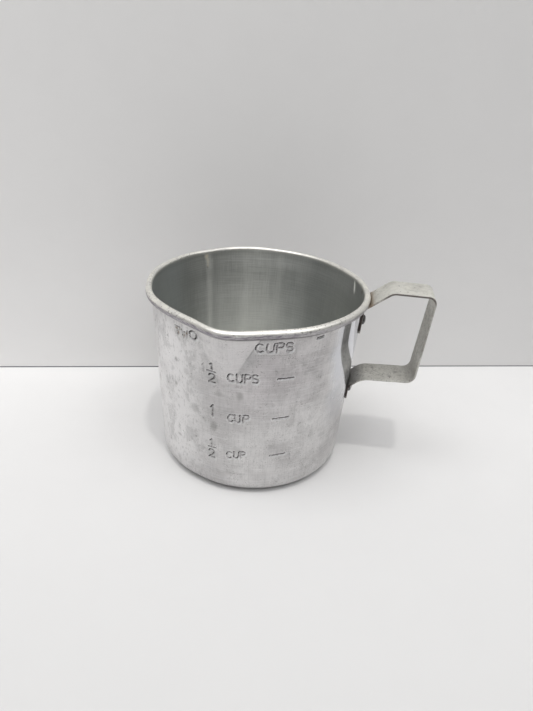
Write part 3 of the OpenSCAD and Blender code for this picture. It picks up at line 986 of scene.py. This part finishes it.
def paint_inside(cup, at):
    """Painted reflections and a painted highlight inside, the bluish side of the inner wall, and painted
    shade on its sides.
    """
    # painted reflections: light upright bands, and the lower middle painted lighter
    bands = sum(amount * at.around(centre, width) for centre, width, amount in BANDS)
    glow = 0.52 * at.around(104, 32) * (1 - smooth(at.z, 34, 84))
    # a thin bright upright streak, a painted highlight
    glint_z = 80.2
    glint_turn = turn_from(at.az, 21.8 + 0.5 * (at.z - glint_z))
    glint = np.exp(-((glint_turn / 0.95) ** 4) - ((at.z - glint_z) / 2.5) ** 4) * (at.face < OUTSIDE)
    paint(cup, "bright", np.maximum((bands + glow) * at.inner, glint))
    turn = at.az % 360
    paint(cup, "blue", 0.55 * smooth(turn, 138, 165) * (1 - smooth(turn, 220, 250)) * at.inner)
    # painted shade on the inner wall's sides, and outside beside the lip's right crease
    beside_lip = at.past_crease(1, -0.2, 0.5) * (1 - at.past_crease(1, 3, 9)) * smooth(at.z, 60, 70)
    paint(cup, "shade", 0.7 * (1 - at.around(104, 52)) * at.inner + 0.28 * beside_lip * at.outer)


def paint_wear_and_sheen(cup, at):
    """Where the outside is worn, scuffed white, tinted or still polished; the lip's face is painted lighter
    as a painted highlight.
    """
    paint(cup, "wear", (0.25 + 0.75 * smooth(-at.az, 100, 118) + 0.35 * at.around(-60, 14)) * at.outer)
    paint(cup, "mauve", 0.42 * at.around(-76, 27) * smooth(at.z, 30, 60) * at.outer)
    # painted highlight: the lip's face between its creases painted lighter; the left side scuffed white,
    # partly a painted highlight
    on_lip = at.past_crease(0, -3, 3) * (1 - at.past_crease(1, -0.5, 0.4)) * smooth(at.z, 58, 66)
    left_side = smooth(-at.az, 98, 132) * (1 - smooth(-at.az, 160, 176)) * smooth(at.z, 2, 12)
    paint(cup, "scuff_and_sheen", np.maximum(left_side, 0.36 * on_lip) * at.outer)
    waver = 1.6 * np.sin(at.z * 0.21) + 0.8 * np.sin(at.z * 0.57 + 1)
    across = smooth(at.az + waver, -42, -32) * (1 - smooth(at.az - waver, 14, 38))
    paint(cup, "polish", across * smooth(at.z + 0.25 * at.az + waver, 18, 54) * at.outer)


# (x, y, z, size) of the deeper pits in the strap
STRAP_PITS = [
    (65.9, 0.6, 46.6, 0.5), (63.2, -3.7, 46.5, 0.55), (55.5, 3.2, 46.0, 0.45), (71.5, 7.0, 47.0, 0.5),
    (75.2, 6.6, 75.0, 0.6), (74.1, -0.2, 58.6, 0.6), (70.0, 3.0, 88.6, 0.3), (60.0, -4.0, 45.9, 0.4),
]


def paint_strap(strap):
    """Pits, painted shade on the edges, near the wall and in the lower bend, and the brown line at the rim.
    """
    at = Places(strap)
    pits = np.zeros_like(at.x)
    for x, y, z, size in STRAP_PITS:
        far = np.sqrt((at.x - x) ** 2 + (at.y - y) ** 2 + (at.z - z) ** 2)
        pits = np.maximum(pits, bump(far, size * 1.3))
    paint(strap, "pit", pits)
    from_wall = at.x - wall_r(at.z)
    # painted shade on the edges: nearly black on the tabs, faint low down, darker towards the top run
    on_edge = smooth(np.abs(at.y), STRAP_W / 2 - 0.16, STRAP_W / 2 - 0.08)
    on_tab = (from_wall < STRAP_T + 0.35) & (at.z < 78)
    darker_top = 0.30 + 0.55 * smooth(at.z, 84, 87)
    paint(strap, "edge", on_edge * np.where(on_tab, 0.97, np.where(at.z < 60, 0.05, darker_top)))
    # painted shade in the lower bend and on the strap close to the wall
    bend = 0.22 * bump(np.hypot(at.x - 72.0, at.z - 48.0), 4.5)
    lower_root = 0.62 * (1 - smooth(from_wall, 2.0, 8.0)) * (at.z < 60)
    upper_root = 0.45 * (1 - smooth(from_wall, 1.0, 4.0)) * (at.z > 60)
    paint(strap, "root", bend + lower_root + upper_root)
    paint(strap, "stain", 0.9 * bump(np.hypot(at.x - 49.6, at.z - 82.0), 1.6))


def paint_rivet(rivet, height):
    """A dark ring around the outer head: grime and painted shade."""
    at = Places(rivet)
    ring = smooth(np.hypot(at.y, at.z - height), 1.7, 2.25)
    paint(rivet, "dirt", 0.9 * ring * (at.x > wall_r(height)))


# ---- pieces
def hand_over(obj, material, node):
    """Put a finished piece on the body in place of its CAD node."""
    obj.data.materials.append(material)
    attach(obj, "root")
    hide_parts(node)


cup, cup_face = build_cup()
cup_places = CupPlaces(cup, cup_face)
for paint_part in (paint_stains_and_shade, paint_rim, paint_inside, paint_wear_and_sheen):
    paint_part(cup, cup_places)
hand_over(cup, aluminium_cup(), "cup_shell")

strap = build_strap()
paint_strap(strap)
hand_over(strap, aluminium_strap(), "handle_strap")

rivet_material = aluminium_rivet()
for node, height in RIVETS.items():
    rivet = build_rivet(node + "_domed", height)
    paint_rivet(rivet, height)
    hand_over(rivet, rivet_material, node)


# ---- stage
BACK_TURN = math.radians(13.5)
BACK_AT = Vector((-0.0013, 0.0737, 0))      # a point where floor and backdrop meet
ALONG_BACK = Vector((math.cos(BACK_TURN), math.sin(BACK_TURN), 0))
OUT_OF_BACK = Vector((ALONG_BACK.y, -ALONG_BACK.x, 0))
STAGE_HALF, STAGE_DEPTH, STAGE_H = 1.6, 2.4, 0.9
JOINT_OUT, JOINT_H = 0.0004, 0.0007         # the dark line where they meet


def stage_surface(name, base, front, side_fade):
    """A matt surface, painted as shade from base at the back to front, and darker to the right by side_fade.
    """
    n = Nodes(bpy.data.materials.new(name))
    x, y, z = n.position()
    fleck = n.noise(n.vector(x, y, z), 0.04, 3.0, 0.6)
    tone = n.layered(n.mix(n.range(y, 40.0, -260.0, soft=False), base, front), [
        (grey(0.3), n.range(x, -150.0, 250.0, 0.0, side_fade, soft=False)),
        (grey(0.5), n.range(fleck, 0.3, 0.7, 0.0, 0.03)),
    ])
    skin = n.add("BsdfPrincipled", {"Base Color": tone, "Roughness": 0.9, "Specular IOR Level": 0.25})
    # seen from behind, a backdrop isn't there
    back_side = n.add("NewGeometry", output=6)
    return n.finish(n.add("MixShader", {0: back_side, 1: skin, 2: n.add("BsdfTransparent")}))


def stage_piece(name, corners, base, front=None, side_fade=0.17):
    """A flat piece of the stage, its corners given as (along the backdrop, out of it, up)."""
    spread = [tuple(BACK_AT + ALONG_BACK * a + OUT_OF_BACK * b + Vector((0, 0, h))) for a, b, h in corners]
    piece = new_mesh(name, spread, [(0, 1, 2, 3)])
    piece.data.materials.append(stage_surface(name + "_surface", base, front or base, side_fade))
    return piece


def strip(first, second):
    """Corners of a strip across the stage between two edges, each given as (out, up)."""
    left, right = -STAGE_HALF, STAGE_HALF
    return [(left, *first), (right, *first), (right, *second), (left, *second)]


# painted shade: the floor darker towards the camera and to the right, the backdrop darker to the right, and
# the floor past the backdrop darker
stage_piece("floor", strip((STAGE_DEPTH, 0), (0, 0)), (0.82, 0.815, 0.808, 1), (0.545, 0.543, 0.537, 1))
stage_piece("floor_behind", strip((0, 0), (-STAGE_DEPTH, 0)), (0.54, 0.537, 0.532, 1))
stage_piece("backdrop", strip((0, -0.001), (0, STAGE_H)), (0.875, 0.868, 0.858, 1), side_fade=0.26)
stage_piece("backdrop_joint", strip((JOINT_OUT, 0), (JOINT_OUT, JOINT_H)), (0.20, 0.20, 0.21, 1))


# ---- light
def square_light(name, at, aim, size, power, colour=(1, 1, 1)):
    light = bpy.data.lights.new(name, "AREA")
    light.shape, light.size, light.size_y = "RECTANGLE", size, size
    light.energy, light.color = power, colour
    obj = bpy.data.objects.new(name, light)
    bpy.context.scene.collection.objects.link(obj)
    obj.location = at
    obj.rotation_euler = (Vector(aim) - Vector(at)).to_track_quat("-Z", "Y").to_euler()


CUP_MIDDLE = (0, 0, 0.04)
KEY_COLOUR = (1.0, 0.985, 0.955)
square_light("key", (0.11, -0.36, 1.40), CUP_MIDDLE, 0.06, 3.2, KEY_COLOUR)
square_light("fill_left", (-0.42, -0.20, 1.45), (0, 0, 0), 0.55, 3.6)
square_light("fill_right", (0.45, -0.25, 1.20), CUP_MIDDLE, 0.35, 1.1)

SKY_UP, SKY_FRONT = 1.47, 0.16      # light from overhead and from behind the camera
SKY_SEEN = 0.56                     # how bright the far room looks past the stage
SKY_COLOUR = (0.985, 0.985, 1.0, 1)


def studio_world():
    """A pale room: bright overhead, dimmer behind the camera."""
    n = Nodes(bpy.data.worlds.new("studio"))
    _, north, up = n.split(n.add("TexCoord", output=0))
    high = n.range(up, 0.35, 0.75)
    front = n.times(n.minus(1.0, high), n.range(north, -0.35, -0.8))
    level = n.plus(n.times(front, SKY_FRONT), n.times(high, SKY_UP))
    level = n.blend(n.add("LightPath", output=0), level, SKY_SEEN)
    return n.finish(n.add("Background", {"Color": SKY_COLOUR, "Strength": level}), "OutputWorld")


bpy.context.scene.world = studio_world()


# ---- camera
CAMERA_AT = (0.0289, -0.2477, 0.1833)
CAMERA_AIM = Vector((-0.0827, 0.8746, -0.4778)).normalized()
CAMERA_ROLL = math.radians(-3.92)

camera = bpy.data.objects.new("camera", bpy.data.cameras.new("camera"))
bpy.context.scene.collection.objects.link(camera)
camera.data.sensor_width = 36
camera.data.lens = 30.38
camera.data.clip_start = 0.01
right = Matrix.Rotation(CAMERA_ROLL, 3, CAMERA_AIM) @ CAMERA_AIM.cross(Vector((0, 0, 1))).normalized()
facing = Matrix((right, right.cross(CAMERA_AIM), -CAMERA_AIM)).transposed()
camera.matrix_world = Matrix.Translation(CAMERA_AT) @ facing.to_4x4()
bpy.context.scene.camera = camera
bpy.context.scene.view_settings.view_transform = "Standard"
